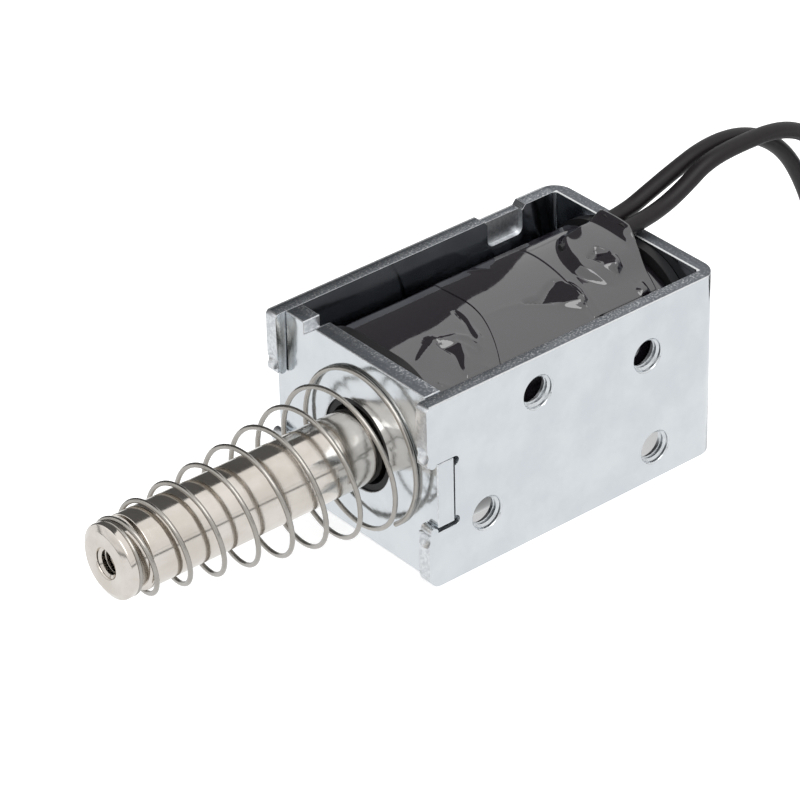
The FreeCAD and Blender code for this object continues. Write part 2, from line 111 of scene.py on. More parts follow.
# Steel strip, rolled and zinc-plated: a soft mirror with faint clouds of the bath, 5 mm across, and the long
# waves of rolling. The zinc's grain is a few hundredths and is drawn at 0.3 mm, so that it shows. Inside the
# channel, behind the plate, the strip is drawn much darker and greyer, as painted shade.
def zinc_strip(name, low, high, shade_from=None):
    made, tree, shader = new_material(name, {"Metallic": 1.0})
    clouds = mottle(tree, (5, 5, 5), 4.0, 0.6)
    share = add(tree, "MapRange", {0: clouds, 1: 0.3, 2: 0.7}, **SOFT)
    tint = add(tree, "Mix", {0: share, 6: linear(low), 7: linear(high)}, **COLOUR)
    # Painted shade: behind the plate the colour turns to the darker tint given
    if shade_from is not None:
        place = add(tree, "SeparateXYZ", {0: add(tree, "TexCoord").outputs["Object"]}).outputs
        share = add(tree, "MapRange", {0: place["Y"], 1: (shade_from - 0.3) * MM, 2: shade_from * MM}, **SOFT)
        tint = add(tree, "Mix", {0: share, 6: linear("#cfd4d8"), 7: tint}, **COLOUR)
    grain = mottle(tree, (0.3, 0.3, 0.3), 3.0, 0.6)
    share = add(tree, "Math", {0: clouds, 1: grain}, operation="MULTIPLY")
    rough = add(tree, "MapRange", {0: share, 1: 0.12, 2: 0.38, 3: 0.1, 4: 0.18}, **SOFT)
    waves = mottle(tree, (3, 3, 3), 2.0, 0.5)
    grain = add(tree, "Math", {0: grain, 1: 0.3}, operation="MULTIPLY")
    height = add(tree, "Math", {0: waves, 1: grain}, operation="ADD")
    relief = add(tree, "Bump", {"Strength": 0.12, "Distance": 0.03 * MM, "Height": height})
    feed(tree, shader, {"Base Color": tint, "Roughness": rough, "Normal": relief})
    return made


# Edge of the plated strip, sheared: matt and dark where the blade cut, with bright grains where the steel
# tore. The torn grains are a few hundredths and are drawn at 0.2 mm. On the rims of the channel a painted
# highlight, a bright line, runs along the outer corner and along the inner corner of the back wall.
# Width of the painted highlight lines on the rims, and of their soft edge
HIGHLIGHT_WIDTH, HIGHLIGHT_FADE = 0.2, 0.06


def sheared_edge(name, cut_end, torn_start, on_rims):
    """Across the edge the cut part ends at cut_end, and from torn_start on the grains are brightest."""
    made, tree, shader = new_material(name, {"Metallic": 1.0})
    place = add(tree, "SeparateXYZ", {0: add(tree, "TexCoord").outputs["Object"]}).outputs
    across = add(tree, "Math", {0: place["X"]}, operation="ABSOLUTE") if on_rims else place["Y"]
    grains = mottle(tree, (0.2, 0.28, 0.2), 3.0, 0.7)
    clouds = mottle(tree, (2.5, 2.5, 2.5), 3.0, 0.5)
    torn = add(tree, "MapRange", {0: across, 1: cut_end * MM, 2: torn_start * MM, 3: 0.25}, **SOFT)
    if on_rims:
        start, end = (BACK_INNER - 0.2) * MM, (BACK_INNER - 0.05) * MM
        at_back = add(tree, "MapRange", {0: place["Y"], 1: start, 2: end}, **SOFT)
        left_over = add(tree, "MapRange", {0: at_back, 3: 1.0, 4: 0.3}, **SOFT)
        torn = add(tree, "Math", {0: torn, 1: left_over}, operation="MULTIPLY")
    tint = add(tree, "Mix", {0: torn, 6: linear("#6a6e74"), 7: linear("#878b90")}, **COLOUR)
    share = add(tree, "MapRange", {0: clouds, 1: 0.35, 2: 0.65, 4: 0.5}, **SOFT)
    tint = add(tree, "Mix", {0: share, 6: tint, 7: linear("#666a70")}, **COLOUR)
    share = add(tree, "MapRange", {0: grains, 1: 0.5, 2: 0.66, 4: 0.75}, **SOFT)
    share = add(tree, "Math", {0: share, 1: torn}, operation="MULTIPLY")
    tint = add(tree, "Mix", {0: share, 6: tint, 7: linear("#e6e8ea")}, **COLOUR)
    # Painted highlight: bright lines on the rims' outer corner and on the back wall's inner corner
    if on_rims:
        start, end = (BACK_INNER + HIGHLIGHT_WIDTH) * MM, (BACK_INNER + HIGHLIGHT_WIDTH + HIGHLIGHT_FADE) * MM
        share = add(tree, "MapRange", {0: place["Y"], 1: start, 2: end, 3: 1.0, 4: 0.0}, **SOFT)
        inner_painted_highlight = add(tree, "Math", {0: at_back, 1: share}, operation="MULTIPLY")
        start, end = WALL_INNER * MM, (WALL_INNER + 0.1) * MM
        share = add(tree, "MapRange", {0: across, 1: start, 2: end, 3: 1.0, 4: 0.0}, **SOFT)
        inner_painted_highlight = add(tree, "Math", {0: inner_painted_highlight, 1: share}, operation="MULTIPLY")
        start, end = (WALL_OUTER - HIGHLIGHT_WIDTH - HIGHLIGHT_FADE) * MM, (WALL_OUTER - HIGHLIGHT_WIDTH) * MM
        outer_painted_highlight = add(tree, "MapRange", {0: across, 1: start, 2: end, 4: 0.9}, **SOFT)
        share = add(tree, "Math", {0: inner_painted_highlight, 1: outer_painted_highlight}, operation="MAXIMUM")
        tint = add(tree, "Mix", {0: share, 6: tint, 7: linear("#f2f4f5")}, **COLOUR)
    rough = add(tree, "MapRange", {0: grains, 1: 0.4, 2: 0.7, 3: 0.5, 4: 0.3}, **SOFT)
    relief = add(tree, "Bump", {"Strength": 0.5, "Distance": 0.05 * MM, "Height": grains})
    feed(tree, shader, {"Base Color": tint, "Roughness": rough, "Normal": relief})
    return made


# Corner of the strip that the shear rolled over and tumbling burnished, then plated: bright, with faint dents
# 0.35 mm wide
def burnished_corner():
    made, tree, shader = new_material("zinc_plated_rolled_corner", {"Metallic": 1.0, "Roughness": 0.34})
    dents = mottle(tree, (0.35, 0.35, 0.35), 3.0, 0.7)
    share = add(tree, "MapRange", {0: dents, 1: 0.35, 2: 0.65}, **SOFT)
    tint = add(tree, "Mix", {0: share, 6: linear("#cacdd0"), 7: linear("#e6e8ea")}, **COLOUR)
    relief = add(tree, "Bump", {"Strength": 0.15, "Distance": 0.02 * MM, "Height": dents})
    feed(tree, shader, {"Base Color": tint, "Normal": relief})
    return made


# Thread tapped in the strip and zinc-plated: its flanks flash bright and dark; the tap's marks are drawn at
# 0.25 mm, or they would not show
def tapped_thread():
    made, tree, shader = new_material("zinc_plated_tapped_thread", {"Metallic": 1.0, "Roughness": 0.3})
    marks = mottle(tree, (0.25, 0.25, 0.25), 2.0, 0.6)
    tint = add(tree, "Mix", {0: marks, 6: linear("#c3c9cd"), 7: linear("#eef0f2")}, **COLOUR)
    relief = add(tree, "Bump", {"Strength": 0.4, "Distance": 0.03 * MM, "Height": marks})
    feed(tree, shader, {"Base Color": tint, "Normal": relief})
    return made


# Steel bar, turned and nickel-plated without current: warm and almost a mirror. The tool's rings are 0.05 mm
# apart and are drawn at 0.12 mm, so that they show; faint stains of rinsing are 3 to 5 mm long.
def nickel():
    made, tree, shader = new_material("nickel_plated_turned_steel", {"Metallic": 1.0})
    rings = mottle(tree, (60, 0.12, 60), 2.0, 0.6)
    stains = mottle(tree, (3, 5, 3), 3.0, 0.6)
    share = add(tree, "MapRange", {0: stains, 1: 0.3, 2: 0.7}, **SOFT)
    tint = add(tree, "Mix", {0: share, 6: linear("#d2cbc2"), 7: linear("#e0dad3")}, **COLOUR)
    rough = add(tree, "MapRange", {0: rings, 1: 0.3, 2: 0.7, 3: 0.09, 4: 0.17}, **SOFT)
    relief = add(tree, "Bump", {"Strength": 0.25, "Distance": 0.01 * MM, "Height": rings})
    feed(tree, shader, {"Base Color": tint, "Roughness": rough, "Normal": relief})
    return made


# Stainless spring wire, drawn: satin and slightly warm, with patches 0.9 mm long where the die rubbed more
def spring_wire():
    made, tree, shader = new_material("drawn_stainless_spring_wire", {"Metallic": 1.0})
    patches = mottle(tree, (0.9, 0.9, 0.9), 2.0, 0.5)
    tint = add(tree, "Mix", {0: patches, 6: linear("#a09c96"), 7: linear("#b9b5af")}, **COLOUR)
    rough = add(tree, "MapRange", {0: patches, 1: 0.3, 2: 0.7, 3: 0.2, 4: 0.26}, **SOFT)
    feed(tree, shader, {"Base Color": tint, "Roughness": rough})
    return made


# Polyester film tape, black: a thin glossy skin that mirrors the lamps where it lies tight, dulled a little
# by dust in spots of 0.5 mm, and slightly wavy, 2.6 mm from wave to wave, because it was wound slack. The IOR
# is above polyester's 1.65, because the coated skin mirrors more than plain film.
def film_tape():
    made, tree, shader = new_material("black_polyester_film_tape", {"IOR": 2.15})
    dust = mottle(tree, (0.5, 0.5, 0.5), 3.0, 0.6)
    tint = add(tree, "Mix", {0: dust, 6: linear("#19161b"), 7: linear("#231f25")}, **COLOUR)
    rough = add(tree, "MapRange", {0: dust, 1: 0.3, 2: 0.7, 3: 0.04, 4: 0.07}, **SOFT)
    waves = mottle(tree, (2.6, 2.6, 2.6), 2.0, 0.5)
    relief = add(tree, "Bump", {"Strength": 0.25, "Distance": 0.04 * MM, "Height": waves})
    feed(tree, shader, {"Base Color": tint, "Roughness": rough, "Normal": relief})
    return made


def small_metal(name, low, high, roughness):
    """Finish of a small metal part with faint stains, 0.8 mm wide."""
    made, tree, shader = new_material(name, {"Metallic": 1.0, "Roughness": roughness})
    stains = mottle(tree, (0.8, 0.8, 0.8), 3.0, 0.6)
    tint = add(tree, "Mix", {0: stains, 6: linear(low), 7: linear(high)}, **COLOUR)
    feed(tree, shader, {"Base Color": tint})
    return made


def plastic(name, low, high, roughness, grain, depth, gloss=0.5):
    """Moulded or extruded plastic or rubber; its skin has a grain of this width and depth."""
    made, tree, shader = new_material(name, {"Roughness": roughness, "Specular IOR Level": gloss})
    skin = mottle(tree, (grain, grain, grain), 3.0, 0.6)
    tint = add(tree, "Mix", {0: skin, 6: linear(low), 7: linear(high)}, **COLOUR)
    relief = add(tree, "Bump", {"Strength": 0.5, "Distance": depth * MM, "Height": skin})
    feed(tree, shader, {"Base Color": tint, "Normal": relief})
    return made


finish = {
    "sheet": zinc_strip("bright_zinc_plated_sheet", "#d3d8dc", "#dde1e4"),
    # Inner faces of the channel behind the plate: the darker grey is painted shade
    "inside": zinc_strip("painted_shade_zinc_inside_channel", "#868b91", "#959a9f", PLATE_BACK),
    "sheared": sheared_edge("zinc_plated_sheared_edge", WALL_OUTER - 0.2, WALL_OUTER - 0.9, True),
    "plate_edge": sheared_edge("zinc_plated_plate_edge", PLATE_FACE + 0.85, PLATE_FACE + 1.25, False),
    "corner": burnished_corner(),
    "thread": tapped_thread(),
    "nickel": nickel(),
    "wire": spring_wire(),
    "tape": film_tape(),
    # Steel rod, ground: bright, with a short sharp shine
    "rod": small_metal("ground_steel_rod", "#b3b2ae", "#cfcdc8", 0.2),
    # Soft iron, faced on a lathe and left bare: grey, half matt
    "pole": small_metal("machined_pole_iron", "#8f9092", "#b3b4b5", 0.32),
    # Spring steel, blackened in hot oxide: brown-black with a dull shine
    "clip": small_metal("black_oxide_spring_steel_clip", "#3d3c3b", "#56544f", 0.42),
    # Copper strands, dipped in tin: pale, half bright
    "tin": small_metal("tinned_copper_strand", "#b9bbb9", "#dcdcd8", 0.3),
    # Copper wire, enamelled and wound: brown-red
    "copper": small_metal("enamelled_copper_winding", "#7a3a1e", "#a55a30", 0.3),
    # Nylon with glass fibre, moulded: near black, and the fibres in its skin take most of its gloss
    "nylon": plastic("black_glass_filled_nylon", "#141416", "#1e1e20", 0.42, 0.3, 0.02, 0.3),
    # PVC, extruded over the strands: near black and slightly violet, with a soft shine
    "lead": plastic("black_pvc_lead_insulation", "#151214", "#1e1a1c", 0.42, 0.6, 0.02, 0.3),
    # Polyolefin tube, shrunk on: dark and matt
    "sleeve": plastic("black_shrink_sleeve", "#19191b", "#232325", 0.5, 0.4, 0.02),
    # Rubber, punched from sheet: dull black, with the sheet's fine grit
    "rubber": plastic("black_rubber_cushion", "#1e1e1e", "#2b2b2b", 0.75, 0.2, 0.03),
    # Nylon, moulded in a polished tool: black with a soft shine
    "tie": plastic("black_nylon_cable_tie", "#1c1c1e", "#28282a", 0.4, 0.5, 0.02),
}


def new_piece(name, mesh, body, slot, *surfaces):
    """An object for a finished mesh or curve, with its finishes, riding on a body of the part."""
    piece = bpy.data.objects.new(name, mesh)
    bpy.context.scene.collection.objects.link(piece)
    for surface in surfaces:
        mesh.materials.append(finish[surface])
    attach(piece, body)
    return piece


def mesh_from(name, points, faces, sharp_angle=None):
    """A smooth-shaded mesh from points in millimetres, with edges sharper than an angle kept crisp."""
    mesh = bpy.data.meshes.new(name)
    mesh.from_pydata([Vector(p) * MM for p in points], [], faces)
    work = bmesh.new()
    work.from_mesh(mesh)
    bmesh.ops.recalc_face_normals(work, faces=work.faces)
    work.to_mesh(mesh)
    work.free()
    mesh.polygons.foreach_set("use_smooth", [True] * len(mesh.polygons))
    if sharp_angle is not None:
        mesh.set_sharp_from_angle(angle=math.radians(sharp_angle))
    return mesh


CORNER_STEPS = 4           # points more on each rounded corner of a turned outline


def softened(profile, radius):
    """A closed outline of (radius, y) points with its corners rounded, other than those on the axis."""
    rounded = []
    count = len(profile)
    for i, corner in enumerate(profile):
        before, here, after = Vector(profile[i - 1]), Vector(corner), Vector(profile[(i + 1) % count])
        reach = min(radius, 0.45 * (before - here).length, 0.45 * (after - here).length)
        if here.x < 0.001 or reach < 0.01:
            rounded.append(here)
            continue
        start = here + (before - here).normalized() * reach
        end = here + (after - here).normalized() * reach
        for k in range(CORNER_STEPS + 1):
            share = k / CORNER_STEPS
            rounded.append(start * (1 - share) ** 2 + here * 2 * share * (1 - share) + end * share ** 2)
    return rounded


def turned_mesh(name, profile, radius, segments):
    """Mesh turned about the plunger's axis from a closed outline of (radius, y) points with round corners."""
    outline = softened(profile, radius)
    points, faces = [], []
    count = len(outline)
    for j in range(segments):
        angle = 2 * math.pi * j / segments
        points += [(p.x * math.cos(angle), p.y, AXIS_Z + p.x * math.sin(angle)) for p in outline]
    for j in range(segments):
        k = (j + 1) % segments
        for i in range(count):
            n = (i + 1) % count
            if outline[i].x < 0.001 and outline[n].x < 0.001:
                continue
            faces.append((j * count + i, j * count + n, k * count + n, k * count + i))
    mesh = mesh_from(name, points, faces)
    work = bmesh.new()
    work.from_mesh(mesh)
    bmesh.ops.remove_doubles(work, verts=work.verts, dist=1e-7)
    bmesh.ops.recalc_face_normals(work, faces=work.faces)
    work.to_mesh(mesh)
    work.free()
    mesh.set_sharp_from_angle(angle=math.radians(35))
    return mesh


def tube_mesh(name, centres, radius, sides, ups):
    """A closed tube of round section along centres, with an upward direction at each one."""
    points, faces = [], []
    count = len(centres)
    for i, centre in enumerate(centres):
        ahead = (centres[min(i + 1, count - 1)] - centres[max(i - 1, 0)]).normalized()
        side = ahead.cross(ups[i]).normalized()
        out = side.cross(ahead)
        for j in range(sides):
            angle = 2 * math.pi * j / sides
            points.append(centre + (out * math.cos(angle) + side * math.sin(angle)) * radius)
    for i in range(count - 1):
        for j in range(sides):
            k = (j + 1) % sides
            faces.append((i * sides + j, i * sides + k, (i + 1) * sides + k, (i + 1) * sides + j))
    faces.append(tuple(range(sides)))
    faces.append(tuple((count - 1) * sides + j for j in range(sides)))
    return mesh_from(name, points, faces, 50)


# Conical return spring: wire wound from the plate to the plunger's groove, with closed turns at both ends
WIRE = 0.25                # radius of the wire
BASE_RADIUS, SMALL_RADIUS, GROOVE_ROOT = 7.96, 3.95, 3.25
BASE_TURNS, FREE_TURNS, TIP_TURNS = 0.57, 7.95, 1.24
START_ANGLE = 307.0        # of the wire's end on the plate, in degrees
BASE_SHIFT = (1.0, 0.44)   # how far its first turn sits off the axis
SAG, LEAN = 0.35, -0.05    # how far its middle hangs, and how far its turns tip over
TURN_STEPS, WIRE_SIDES = 56, 14


def eased(turns, width=0.6):
    """Zero before a corner, one per turn after it, and a smooth bend of the given width."""
    if turns <= -width / 2:
        return 0.0
    if turns >= width / 2:
        return turns
    return (turns + width / 2) ** 2 / (2 * width)


def spring_point(turn):
    """Middle of the spring's wire after a number of turns from its end on the plate."""
    base_y = PLATE_FACE - WIRE
    tip_y = GROOVE_FRONT + WIRE
    free_end = BASE_TURNS + FREE_TURNS
    left = 1 - (eased(turn - BASE_TURNS) - eased(turn - free_end)) / FREE_TURNS
    radius = SMALL_RADIUS + (BASE_RADIUS - SMALL_RADIUS) * (0.7 * left + 0.3 * left * left)
    settle = min(1.0, max(0.0, (turn - free_end + 0.5) / 0.9))
    radius -= (SMALL_RADIUS - GROOVE_ROOT - WIRE) * settle * settle * (3 - 2 * settle)
    angle = math.radians(START_ANGLE + 360 * turn)
    x, z = radius * math.cos(angle), radius * math.sin(angle)
    y = tip_y + (base_y - tip_y) * left + LEAN * (x + z) * min(1.0, 8 * left, 8 - 8 * left)
    x += BASE_SHIFT[0] * left
    z += BASE_SHIFT[1] * left - SAG * 4 * left * (1 - left)
    return Vector((x, y, AXIS_Z + z))


def return_spring():
    """Smooth round wire, wound from the plate to the plunger's groove."""
    total = BASE_TURNS + FREE_TURNS + TIP_TURNS
    steps = int(total * TURN_STEPS)
    centres = [spring_point(total * i / steps) for i in range(steps + 1)]
    ups = [Vector((c.x, 0, c.z - AXIS_Z)) for c in centres]
    mesh = tube_mesh("return_spring_wire", centres, WIRE, WIRE_SIDES, ups)
    piece = new_piece("return_spring_wire", mesh, "root", "spring_steel", "wire")
    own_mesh(piece)
    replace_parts(piece, "return_spring")


# Screw thread of a tapped hole. Its section is a ridge with a narrow flat crest, in parts of the pitch.
RIDGE = (("wall", -0.46), ("crest", -0.08), ("crest", 0.08), ("wall", 0.46))
THREAD_STEPS = 40          # steps in one turn
RUN_OUT = 8                # steps over which the ridge rises and dies away


def thread(name, centre, along, length, wall, crest, pitch, body, slot, surface):
    """Ridge from the wall to the crest, wound along a hole; centre is where the hole starts."""
    axis = Vector(along)
    side = axis.orthogonal().normalized()
    up = axis.cross(side)
    steps = int((length - pitch) / pitch * THREAD_STEPS)
    points, faces = [], []
    for i in range(steps + 1):
        angle = 2 * math.pi * i / THREAD_STEPS
        ray = side * math.cos(angle) + up * math.sin(angle)
        travel = pitch * (0.5 + i / THREAD_STEPS)
        fade = min(1.0, i / RUN_OUT, (steps - i) / RUN_OUT)
        for kind, share in RIDGE:
            reach = wall if kind == "wall" else wall - (wall - crest) * fade
            points.append(Vector(centre) + axis * (travel + share * pitch) + ray * reach)
    for i in range(steps):
        for j in range(4):
            k = (j + 1) % 4
            faces.append((4 * i + j, 4 * i + k, 4 * i + 4 + k, 4 * i + 4 + j))
    faces += [(0, 1, 2, 3), tuple(4 * steps + j for j in range(4))]
    new_piece(name, mesh_from(name, points, faces, 30), body, slot, surface)


# Places of the frame's and the plate's finishes in their pieces
SHEET, EDGE, CORNER, THREAD, INSIDE = range(5)
WORN_EDGE = 0.12           # width of the rounding on the strip's edges


def worn_copy(name, node, finish_of, surfaces, reshape=None):
    """A CAD node's own shape with worn edges; finish_of gives each flat face its place in surfaces."""
    mesh = nodes[node].data.copy()
    mesh.materials.clear()
    work = bmesh.new()
    work.from_mesh(mesh)
    bmesh.ops.remove_doubles(work, verts=work.verts, dist=1e-5)
    for vertex in work.verts:
        if reshape:
            vertex.co = reshape(vertex.co / MM) * MM
    bmesh.ops.dissolve_limit(work, angle_limit=math.radians(0.6), verts=work.verts, edges=work.edges)
    for face in work.faces:
        face.smooth = True
        face.material_index = finish_of(face)
    work.to_mesh(mesh)
    work.free()
    piece = new_piece(name, mesh, "root", "zinc_plated_steel", *surfaces)
    bevel = piece.modifiers.new("worn_edges", "BEVEL")
    bevel.width = WORN_EDGE * MM
    bevel.segments = 3
    bevel.limit_method = "ANGLE"
    bevel.angle_limit = math.radians(32)
    bevel.material = CORNER
    bevel.harden_normals = True
    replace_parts(piece, node)


# Radius of the walls' top front corners in the CAD shape, and the sharper one of the real strip
CORNER_RADIUS, SHARP_RADIUS = 1.5, 0.5
# Coined pocket of the far wall, behind the front edge and up
POCKET_START, POCKET_END, POCKET_FLOOR = 26.3, 30.9, 16.8
# Tapped holes of the near wall, M3: places behind the front edge and above the axis
HOLE_RADIUS, THREAD_WALL, THREAD_CREST, SIDE_PITCH = 1.5, 1.72, 1.46, 0.42
SIDE_HOLES = {
    "front_low": (7.1, -4.4), "front_high": (13.5, 6.2), "rear_high": (27.3, 4.4), "rear_low": (28.4, -6.4),
}


def frame_finish(face):
    """Rolled strip on the walls, painted shade on the inner faces, sheared metal on the rims, burnished front
    edges.
    """
    normal = face.normal
    centre = face.calc_center_median() / MM
    behind = centre.y - FRONT
    on_front_edge = normal.y < -0.3 and behind < 1 and abs(centre.x) > 9
    on_rim = abs(normal.z) > 0.9 and (centre.z > FRAME_TOP - 1.1 or centre.z < 0.2)
    over_pocket = POCKET_START < behind < POCKET_END and centre.z > POCKET_FLOOR
    in_pocket = centre.x < -WALL_INNER - 0.1 and over_pocket and normal.x > -0.5
    in_hole = abs(normal.x) < 0.3 and abs(normal.y) + abs(normal.z) > 0.5 and centre.x > WALL_INNER
    on_wall_inside = normal.x * centre.x < -5 and abs(centre.x) < WALL_INNER + 0.1
    on_back_inside = normal.y < -0.9 and behind > 30
    if on_front_edge:
        return CORNER
    if on_rim:
        return EDGE
    if in_pocket:
        return CORNER
    if in_hole and 2 < behind < 32:
        return THREAD
    if on_wall_inside or on_back_inside:
        return INSIDE
    return SHEET


def frame_shape(place):
    """Walls' top front corners drawn sharper, and the tapped holes opened to the root of their thread."""
    arc = Vector((0, place.y - FRONT - CORNER_RADIUS, place.z - FRAME_TOP + CORNER_RADIUS))
    if abs(arc.length - CORNER_RADIUS) < 0.02 and arc.y < 0.01 and arc.z > -0.01:
        arc *= SHARP_RADIUS / CORNER_RADIUS
        return Vector((place.x, FRONT + SHARP_RADIUS + arc.y, FRAME_TOP - SHARP_RADIUS + arc.z))
    for behind, above in SIDE_HOLES.values():
        ray = Vector((0, place.y - FRONT - behind, place.z - AXIS_Z - above))
        if place.x > 0 and ray.length < HOLE_RADIUS + 0.2:
            return Vector(place) + ray.normalized() * (THREAD_WALL - HOLE_RADIUS)
    return place


def plate_finish(face):
    """Rolled strip on the faces and the tabs, torn metal on the top, burnished metal in the nick."""
    centre = face.calc_center_median() / MM
    if abs(face.normal.y) > 0.8 or abs(centre.x) > 9.9:
        return SHEET
    if centre.z > 18 and abs(face.normal.x) > 0.5 and abs(centre.x) < 9.5 or 18 < centre.z < 19.5:
        return CORNER
    return EDGE


worn_copy("frame_channel_body", "frame_channel", frame_finish,
          ("sheet", "sheared", "corner", "thread", "inside"), frame_shape)
worn_copy("front_plate_body", "front_plate", plate_finish, ("sheet", "plate_edge", "corner"))
for place, (behind, above) in SIDE_HOLES.items():
    thread("side_thread_" + place, (WALL_INNER, FRONT + behind, AXIS_Z + above), (1, 0, 0), 1.42, THREAD_WALL,
           THREAD_CREST, SIDE_PITCH, "root", "zinc_plated_steel", "thread")

# Plunger, turned from bar: lip, groove and collar at the tip, a cone behind, and a tapped hole at each end
PLUNGER_RADIUS, TIP_HOLE, ROD_HOLE = 3.75, 1.5, 1.275
PLUNGER_OUTLINE = [
    (TIP_HOLE + 0.15, TIP), (3.0, TIP), (PLUNGER_RADIUS, TIP + 0.45), (PLUNGER_RADIUS, GROOVE_FRONT),
    (GROOVE_ROOT, GROOVE_FRONT), (GROOVE_ROOT, TIP + 2.65), (3.45, TIP + 2.85), (PLUNGER_RADIUS, TIP + 2.85),
    (PLUNGER_RADIUS, TIP + 36), (3.35, TIP + 36), (1.95, TIP + 40), (ROD_HOLE, TIP + 40),
    (ROD_HOLE, TIP + 34), (0, TIP + 34), (0, TIP + 8.9), (TIP_HOLE, TIP + 8), (TIP_HOLE, TIP + 0.15),
]
plunger = new_piece("plunger_body", turned_mesh("plunger_body", PLUNGER_OUTLINE, 0.12, 128), "armature",
                    "nickel_plated_steel", "nickel")
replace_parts(plunger, "plunger")
thread("tip_thread", (0, TIP, AXIS_Z), (0, 1, 0), 7.8, TIP_HOLE, 1.22, 0.5, "armature", "nickel_plated_steel",
       "nickel")

return_spring()

# Parts that keep the CAD shape and get their finish here
CAD_FINISH = {
    "bobbin": "nylon", "pole_core": "pole", "push_rod": "rod", "cushion_washer": "rubber",
    "retaining_clip": "clip", "bare_end_left": "tin", "bare_end_right": "tin", "coil_tie": "tie",
}
for name, kind in CAD_FINISH.items():
    mesh = nodes[name].data
    mesh.materials.clear()
    mesh.materials.append(finish[kind])
    mesh.polygons.foreach_set("use_smooth", [True] * len(mesh.polygons))
    mesh.set_sharp_from_angle(angle=math.radians(35))


def slimmer_copy(name, node, slot, surface, middle, share, from_radius=0.0):
    """A hidden CAD piece drawn in towards a line along Y, so that the slack tape over it has room to fold."""
    mesh = nodes[node].data.copy()
    mesh.materials.clear()
    for vertex in mesh.vertices:
        x, z = vertex.co.x - middle[0] * MM, vertex.co.z - middle[1] * MM
        if math.hypot(x, z) > from_radius * MM:
            vertex.co.x, vertex.co.z = middle[0] * MM + x * share, middle[1] * MM + z * share
    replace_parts(new_piece(name, mesh, "root", slot, surface), node)


slimmer_copy("winding_wire", "copper_winding", "enamelled_copper", "copper", (0, AXIS_Z), 0.93, 6)
for side, x in (("left", -1.3), ("right", 1.0)):
    slimmer_copy("joint_sleeve_" + side, "splice_sleeve_" + side, "shrink_sleeve", "sleeve",
                 (x, FRAME_TOP), 0.42)

# Film tape round the winding. Its section is a rounded square whose flat top is drawn to a low arch, and its
# top carries folds and slack. Places along it count from the frame's front edge.
FILM = 0.1
TAPE_HALF_X, TAPE_HALF_Z, TAPE_CORNER = 9.67, 9.72, 7.17
FLAT_X, FLAT_Z = TAPE_HALF_X - TAPE_CORNER, TAPE_HALF_Z - TAPE_CORNER
ARCH_MIDDLE, ARCH_RADIUS = -0.5, 16.0
FRONT_BAND_START, FRONT_BAND_END = 4.3, 16.6
TAPE_END = 33.95
# How far the tape rolls down over the rear end of the winding, and between which places
REAR_ROLL, ROLL_START, ROLL_END = 0.6, 33.0, 34.1

# Folds as lines of (x, distance behind the front edge), with their height and half-width
FOLDS = (
    (((3.9, 5.5), (3.1, 7.2), (2.4, 8.7), (2.6, 9.5)), 0.2, 0.32),
    (((2.4, 8.7), (3.3, 8.0), (4.6, 6.4)), 0.12, 0.22),
    (((2.6, 9.3), (3.0, 11.1), (3.7, 11.9), (5.2, 12.1)), 0.22, 0.3),
    (((2.5, 9.0), (3.6, 10.6), (5.3, 11.4)), 0.12, 0.2),
    (((2.3, 15.2), (2.4, 17.2), (2.8, 19.1), (3.6, 20.6), (4.7, 22.1), (5.9, 23.5), (7.4, 24.2)), 0.1, 0.45),
    (((-6.3, 19.6), (-5.1, 20.4), (-3.9, 21.3)), 0.09, 0.25),
    (((6.6, 5.6), (7.6, 6.6)), 0.2, 0.5),
    (((6.9, 10.9), (7.8, 11.6)), 0.12, 0.4),
)
# Facets that lean forward and to the left: corners, then the slope along X and along Y
FACETS = (
    (((2.9, 8.9), (4.6, 9.2), (5.8, 8.9), (7.2, 8.8), (5.6, 10.2), (4.2, 10.8), (3.6, 10.4)), 0.2, 0.28),
    (((0.1, 13.4), (2.0, 13.4), (3.1, 13.2), (4.3, 13.0), (5.5, 11.8), (4.2, 12.0), (3.3, 12.4), (2.0, 12.9)),
     0.2, 0.34),
    (((2.8, 19.6), (3.0, 21.3), (2.2, 22.8), (1.8, 24.1), (2.3, 24.9), (3.2, 25.2), (4.3, 25.3), (5.5, 25.0),
      (6.0, 24.2), (5.1, 22.9), (3.9, 21.4)), 0.26, 0.2),
)


def smooth(value, low, high):
    """Rise from 0 at low to 1 at high without a corner."""
    share = min(1.0, max(0.0, (value - low) / (high - low)))
    return share * share * (3 - 2 * share)


def line_distance(x, y, line):
    """Distance from a place to a broken line, and how far along it that is, from 0 to 1."""
    best, along = 1e9, 0.0
    for i, ((ax, ay), (bx, by)) in enumerate(zip(line, line[1:])):
        dx, dy = bx - ax, by - ay
        share = min(1.0, max(0.0, ((x - ax) * dx + (y - ay) * dy) / (dx * dx + dy * dy)))
        away = math.hypot(x - ax - share * dx, y - ay - share * dy)
        if away < best:
            best, along = away, (i + share) / (len(line) - 1)
    return best, along


def inside(x, y, corners):
    """Whether a place lies inside an outline."""
    odd = False
    for (ax, ay), (bx, by) in zip(corners, corners[1:] + corners[:1]):
        if (ay > y) != (by > y) and x < ax + (y - ay) * (bx - ax) / (by - ay):
            odd = not odd
    return odd


def on_facet(x, y, corners):
    """How far a place is from a facet's middle, along X and along Y, and how deep it lies inside it."""
    middle_x = sum(corner[0] for corner in corners) / len(corners)
    middle_y = sum(corner[1] for corner in corners) / len(corners)
    depth = line_distance(x, y, corners + corners[:1])[0]
    return x - middle_x, y - middle_y, depth if inside(x, y, corners) else -depth


def rear_roll(y):
    """How far the tape has rolled down at a place near its rear edge."""
    return REAR_ROLL * smooth(y, ROLL_START, ROLL_END)


